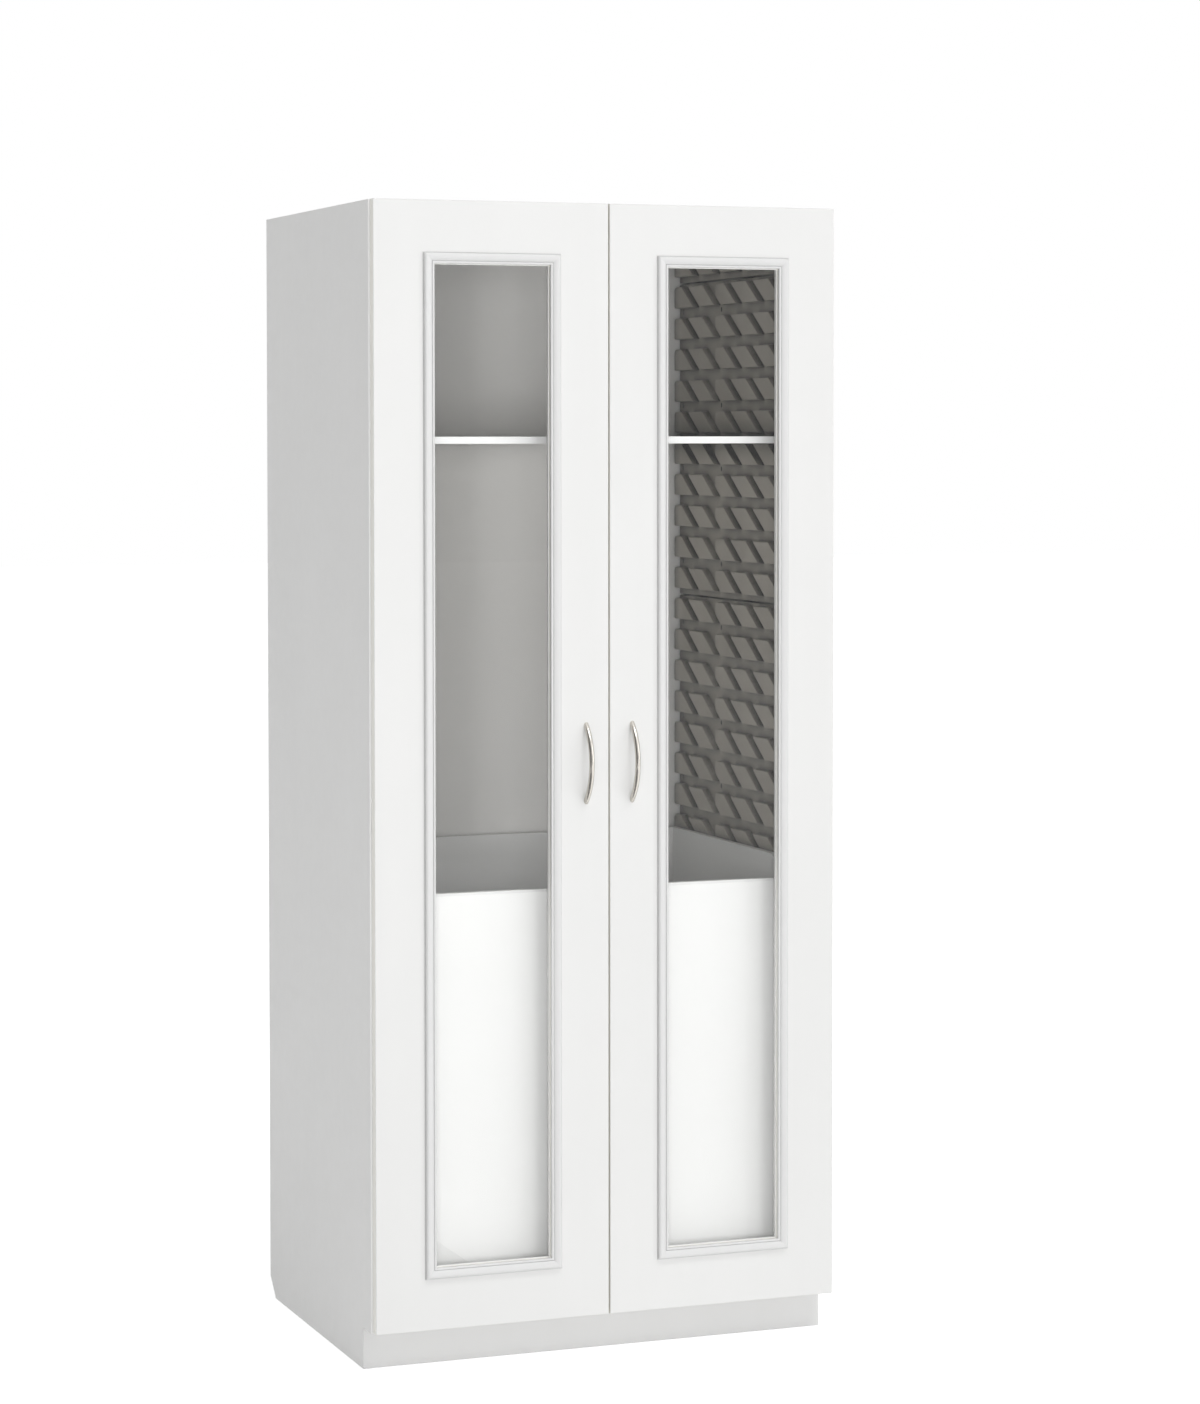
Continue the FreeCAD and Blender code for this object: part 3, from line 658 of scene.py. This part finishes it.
def hinge_screws(side):
    """The screws of the cups in the door, of the mounting plates and of the arms on them."""
    toward = inward(side)
    cup_low, cup_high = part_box(f"{side}_hinge_cups")
    plate_low, plate_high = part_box(f"{side}_hinge_plates")
    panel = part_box(f"{side}_side_panel")
    wall_x = panel[1].x if side == "left" else panel[0].x
    cup_x = (cup_low.x + cup_high.x) / 2
    wing_y = (plate_low.y + plate_high.y) / 2
    in_cups, in_wings, in_arms = [], [], []
    for level in levels_of(f"{side}_hinge_cups"):
        for step in (-1, 1):
            arm_y = wing_y + step * (plate_high.y - plate_low.y - 2 * ARM_SCREW_INSET) / 2
            in_cups.append((cup_x, cup_high.y, level + step * CUP_SCREW_OFFSET))
            in_wings.append((wall_x + toward * WING_FACE, wing_y, level + step * WING_SCREW_OFFSET))
            in_arms.append((wall_x + toward * ARM_FACE, arm_y, level))
    screw_set(f"{side}_cup_screws", f"{side}_door", CUP_SCREW, in_cups, (0, 1, 0))
    screw_set(f"{side}_plate_screws", "cabinet", WING_SCREW, in_wings, (toward, 0, 0))
    screw_set(f"{side}_arm_screws", "cabinet", ARM_SCREW, in_arms, (toward, 0, 0))


def handle_screws(side):
    """The two screws that hold a handle, seen on the back of its door."""
    low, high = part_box(f"{side}_handle")
    middle = (low + high) / 2
    back_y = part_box(f"{side}_door_panel")[1].y
    places = [(middle.x, back_y, middle.z + step * HANDLE_SCREW_OFFSET) for step in (-1, 1)]
    screw_set(f"{side}_handle_screws", f"{side}_door", HANDLE_SCREW, places, (0, 1, 0))


for side in SIDES:
    hinge_screws(side)
    handle_screws(side)


# Wall liners

# The sheets and blocks have the sizes of the CAD panels. A row is a line of blocks with slanted
# slots between them, and a channel runs under each row.
ROW_PITCH = 63.5 * MM
ROW_LOW = 15.5 * MM
ROW_HIGH = 59 * MM
LINER_ROWS = 10
LINER_END = 3 * MM
SHEET = 3 * MM
BLOCK = 14 * MM
SLOT_START = 40 * MM
SLOT_PITCH = 109 * MM
SLOT_WIDTH = 31 * MM
SLOT_LEAN = 63 * MM
# The third block of a row is cut upright at this distance from the rear
RELIEF = 216.5 * MM
RELIEF_BLOCK = 2
# The rounded corners, the joints and the slits are left out of the CAD panels. The steps hold
# the share of the height at each step of a block's side, and how far in the side has come.
BLOCK_STEPS = ((-0.02, 0.0), (0.84, 0.6 * MM), (0.95, 1.0 * MM), (1.0, 2.2 * MM))
REAR_ROUND = 7.5 * MM
CORNER_ROUND = 2.2 * MM
# The most of a side that one rounded corner takes
ROUND_LIMIT = 0.45
CORNER_STEPS = 5
JOINT_GAP = 4 * MM
SLIT_ROWS = (1, 4, 6, 9)
SLIT_FROM_REAR = (17 * MM, 217 * MM, 546 * MM)
SLIT_WIDTH = 7.2 * MM
SLIT_HEIGHT = 10.5 * MM
SLIT_DROP = 3 * MM
SLIT_STEPS = 6
# How much wider a slit is at the back of the sheet, all round
SLIT_UNDERCUT = 7 * MM


def keep_part(corners, axis, limit, below):
    """The part of a convex outline below or above a limit on one axis."""
    kept = []
    for index, corner in enumerate(corners):
        before = corners[index - 1]
        inside = (corner[axis] <= limit) == below
        if inside != ((before[axis] <= limit) == below):
            share = (limit - before[axis]) / (corner[axis] - before[axis])
            kept.append(before.lerp(corner, share))
        if inside:
            kept.append(corner)
    return kept


def block_shapes(depth):
    """The blocks of one row as corners (from the rear, from the panel's foot), rear block first."""
    shapes = []
    end = depth - LINER_END
    back_top = back_bottom = LINER_END
    slot_back = SLOT_START
    while back_top < end:
        shape = [
            Vector((back_top, ROW_HIGH)), Vector((back_bottom, ROW_LOW)),
            Vector((slot_back + SLOT_LEAN, ROW_LOW)), Vector((slot_back, ROW_HIGH)),
        ]
        if len(shapes) == RELIEF_BLOCK:
            shape = keep_part(shape, 0, RELIEF, False)
        shapes.append(keep_part(shape, 0, end, True))
        back_top = slot_back + SLOT_WIDTH
        back_bottom = back_top + SLOT_LEAN
        slot_back += SLOT_PITCH
    return shapes


def drawn_in(corners, distance):
    """A convex outline with every side moved inwards by a distance. It runs anticlockwise."""
    moved = []
    for index, corner in enumerate(corners):
        first = (corner - corners[index - 1]).normalized()
        second = (corners[(index + 1) % len(corners)] - corner).normalized()
        both = Vector((-first.y, first.x)) + Vector((-second.y, second.x))
        moved.append(corner + both * distance / (1 + first.dot(second)))
    return moved


def rounded(corners):
    """The outline with its corners rounded, the upper rear one most."""
    rear_top = min(corners, key=lambda corner: corner.x - 3 * corner.y)
    points = []
    for index, corner in enumerate(corners):
        before, after = corners[index - 1], corners[(index + 1) % len(corners)]
        reach = REAR_ROUND if corner is rear_top else CORNER_ROUND
        start = corner.lerp(before, min(ROUND_LIMIT, reach / (before - corner).length))
        end = corner.lerp(after, min(ROUND_LIMIT, reach / (after - corner).length))
        for step in range(CORNER_STEPS + 1):
            share = step / CORNER_STEPS
            points.append(start.lerp(corner, share).lerp(corner.lerp(end, share), share))
    return points


def slit_outline(from_rear, top, grown=0.0):
    """A slit with round ends, anticlockwise, and grown all round by a distance."""
    radius = SLIT_WIDTH / 2 + grown
    points = []
    for end, middle in ((1, top - SLIT_WIDTH / 2), (-1, top - SLIT_HEIGHT + SLIT_WIDTH / 2)):
        for step in range(SLIT_STEPS + 1):
            turn = math.pi * step / SLIT_STEPS
            points.append(Vector((
                from_rear + end * radius * math.cos(turn), middle + end * radius * math.sin(turn),
            )))
    return points


def slits_below(height):
    """The outlines of a panel's slits at its face, and the wider ones at its back."""
    slits, undercuts = [], []
    for row in SLIT_ROWS:
        top = ROW_PITCH * row + ROW_LOW - SLIT_DROP
        if top < height - SLIT_WIDTH:
            for from_rear in SLIT_FROM_REAR:
                slits.append(slit_outline(from_rear, top))
                undercuts.append(slit_outline(from_rear, top, SLIT_UNDERCUT))
    return slits, undercuts


def blocks_below(height, depth):
    """The outlines of all the blocks of a panel, cut off at its height."""
    blocks = []
    for row in range(LINER_ROWS):
        for shape in block_shapes(depth):
            lifted = [corner + Vector((0, ROW_PITCH * row)) for corner in shape]
            lifted = keep_part(lifted, 1, height, True)
            if len(lifted) >= 3:
                blocks.append(lifted)
    return blocks


def wall_liner(side, part):
    """One liner panel: a sheet with slits in its channels, and rows of blocks on it."""
    low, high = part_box(f"{side}_liner_{part}")
    wall = low.x if side == "left" else high.x
    depth, height = high.y - low.y, high.z - low.z
    foot = 0 if part == "lower" else JOINT_GAP
    mesh = bmesh.new()

    def ring(points, level):
        x = wall + inward(side) * level
        return [mesh.verts.new((x, high.y - point.x, low.z + point.y)) for point in points]

    corners = ((0, foot), (depth, foot), (depth, height), (0, height))
    outline = [Vector(corner) for corner in corners]
    slits, undercuts = slits_below(height)
    rear_rings = [ring(points, 0) for points in [outline] + undercuts]
    face_rings = [ring(points, SHEET) for points in [outline] + slits]
    for rear, face in zip(rear_rings, face_rings):
        wrap(mesh, rear, face)
    fill(mesh, rear_rings)
    fill(mesh, face_rings)
    for block in blocks_below(height, depth):
        rings = []
        for share, inset in BLOCK_STEPS:
            rings.append(ring(rounded(drawn_in(block, inset)), SHEET + BLOCK * share))
        for first, second in zip(rings, rings[1:]):
            wrap(mesh, first, second)
        mesh.faces.new(rings[0])
        mesh.faces.new(rings[-1])
    liner = piece(f"{side}_wall_liner_{part}", mesh, "cabinet", "grey_liner")
    smooth(liner, angle=28)
    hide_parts(f"{side}_liner_{part}")


for side in SIDES:
    for part in ("lower", "middle", "upper", "top"):
        wall_liner(side, part)


# Floor, light and camera

# Where the camera looks: straight, in a mirror and through glass
SEEN_RAYS = ("Is Camera Ray", "Is Glossy Ray", "Is Transmission Ray")
FLOOR_SIZE = 80.0
FLOOR_DROP = 0.5 * MM
FLOOR_GLOW = (0.72, 0.72, 0.72, 1)


def stage_sheet(name, width, length, paint):
    """A flat rectangle with its middle at the origin and a paint on it."""
    mesh = bmesh.new()
    bmesh.ops.create_grid(mesh, x_segments=1, y_segments=1, size=0.5)
    bmesh.ops.scale(mesh, vec=(width, length, 1), verts=mesh.verts)
    obj = object_of(name, mesh)
    obj.data.materials.append(paint.material)
    return obj


def aim(obj, place, target):
    """Puts a lamp or card at a place and turns it to face a target."""
    obj.location = place
    obj.rotation_euler = (Vector(target) - Vector(place)).to_track_quat("-Z", "Y").to_euler()


def stage_floor():
    """A pale floor that keeps the cabinet's soft shadow and meets the white world unseen."""
    paint = Paint("floor")
    paint.set(Base_Color=(0.86, 0.86, 0.86, 1), Roughness=0.9, Specular_IOR_Level=0.1)
    glow = paint.add("ShaderNodeEmission")
    paint.link(any_ray(paint.tree, *SEEN_RAYS), glow.inputs["Strength"])
    glow.inputs["Color"].default_value = FLOOR_GLOW
    both = paint.add("ShaderNodeAddShader")
    paint.link(paint.shader.outputs[0], both.inputs[0])
    paint.link(glow.outputs[0], both.inputs[1])
    paint.surface(both.outputs[0])
    floor = stage_sheet("floor", FLOOR_SIZE, FLOOR_SIZE, paint)
    floor.location.z = -FLOOR_DROP


def light_world(level):
    """Even light from all round at the given level, seen and mirrored as plain white."""
    world = bpy.data.worlds.new("studio")
    bpy.context.scene.world = world
    world.use_nodes = True
    tree = world.node_tree
    tree.nodes.clear()
    lit = tree.nodes.new("ShaderNodeBackground")
    seen = tree.nodes.new("ShaderNodeBackground")
    mix = tree.nodes.new("ShaderNodeMixShader")
    output = tree.nodes.new("ShaderNodeOutputWorld")
    lit.inputs["Color"].default_value = seen.inputs["Color"].default_value = (1, 1, 1, 1)
    lit.inputs["Strength"].default_value = level
    seen.inputs["Strength"].default_value = 1.0
    tree.links.new(any_ray(tree, *SEEN_RAYS), mix.inputs[0])
    tree.links.new(lit.outputs[0], mix.inputs[1])
    tree.links.new(seen.outputs[0], mix.inputs[2])
    tree.links.new(mix.outputs[0], output.inputs["Surface"])


def area_lamp(name, place, target, size, watts, mirrored=False):
    """A soft lamp of a width and height, which glass and metal mirror only if asked."""
    data = bpy.data.lights.new(name, "AREA")
    data.shape = "RECTANGLE"
    data.size, data.size_y = size
    data.energy = watts
    lamp = bpy.data.objects.new(name, data)
    lamp.visible_glossy = mirrored
    bpy.context.scene.collection.objects.link(lamp)
    aim(lamp, place, target)


def dark_card(name, place, target, size, tone):
    """A grey studio card of a width and height, which is only seen in mirrors."""
    paint = Paint(name)
    paint.set(Base_Color=(tone, tone, tone, 1), Roughness=1.0, Specular_IOR_Level=0.0)
    card = stage_sheet(name, *size, paint)
    aim(card, place, target)
    card.visible_camera = card.visible_diffuse = card.visible_shadow = False
    card.visible_transmission = False


WORLD_LEVEL = 0.33
CARD_TONE = 0.32
PANE_CARD_TONE = 0.02

stage_floor()
light_world(WORLD_LEVEL)
area_lamp("key", (14.0, -13.5, 6.4), (0, 0, 1.0), (13.0, 12.0), watts=655, mirrored=True)
area_lamp("front", (0.6, -8.0, 0.9), (0, 0, 0.8), (3.0, 1.8), watts=100)
area_lamp("beside_camera", (-3.0, -8.0, 1.4), (0, 0, 1.0), (2.0, 2.0), watts=165)
area_lamp("above", (3.0, -9.0, 16.0), (0, 0, 1.2), (6.0, 5.0), watts=850, mirrored=True)
area_lamp("left", (-8.0, 3.0, 2.0), (0, 0, 1.0), (2.4, 2.4), watts=100)
dark_card("left_card", (-4.6, -3.6, 1.6), (0, 0, 1.1), (8.5, 6.0), CARD_TONE)
dark_card("upper_left_card", (-4.0, -1.8, 4.4), (0, 0, 1.1), (8.5, 3.6), CARD_TONE)
dark_card("floor_card", (-2.2, -2.2, 0.002), (-2.2, -2.2, 1.0), (4.4, 3.6), CARD_TONE)
dark_card("pane_card", (2.5, -6.74, 1.3), (2.5, 0.0, 1.3), (1.9, 2.6), PANE_CARD_TONE)


# The camera that was fitted to the photograph, which looks level but for a small pitch and roll
CAMERA_PLACE = (-2.4133, -6.5089, 1.7085)
YAW, PITCH, ROLL = (math.radians(angle) for angle in (20.6744, -2.0085, -0.0585))
LENS = 92.373
SENSOR_WIDTH = 36
SHIFT = (0.0224, -0.10)


def take_camera():
    """Sets up the camera: its yaw is clockwise from +Y as seen from above."""
    data = bpy.data.cameras.new("camera")
    data.lens = LENS
    data.sensor_width = SENSOR_WIDTH
    data.shift_x, data.shift_y = SHIFT
    data.clip_start, data.clip_end = 0.05, 200
    camera = bpy.data.objects.new("camera", data)
    bpy.context.scene.collection.objects.link(camera)
    level_ahead = Vector((math.sin(YAW), math.cos(YAW), 0)) * math.cos(PITCH)
    ahead = level_ahead + Vector((0, 0, math.sin(PITCH)))
    level_right = Vector((math.cos(YAW), -math.sin(YAW), 0))
    level_up = level_right.cross(ahead)
    right = level_right * math.cos(ROLL) + level_up * math.sin(ROLL)
    up = right.cross(ahead)
    turned = Matrix((right, up, -ahead)).transposed().to_4x4()
    camera.matrix_world = Matrix.Translation(CAMERA_PLACE) @ turned
    bpy.context.scene.camera = camera


take_camera()
bpy.context.scene.view_settings.view_transform = "Standard"
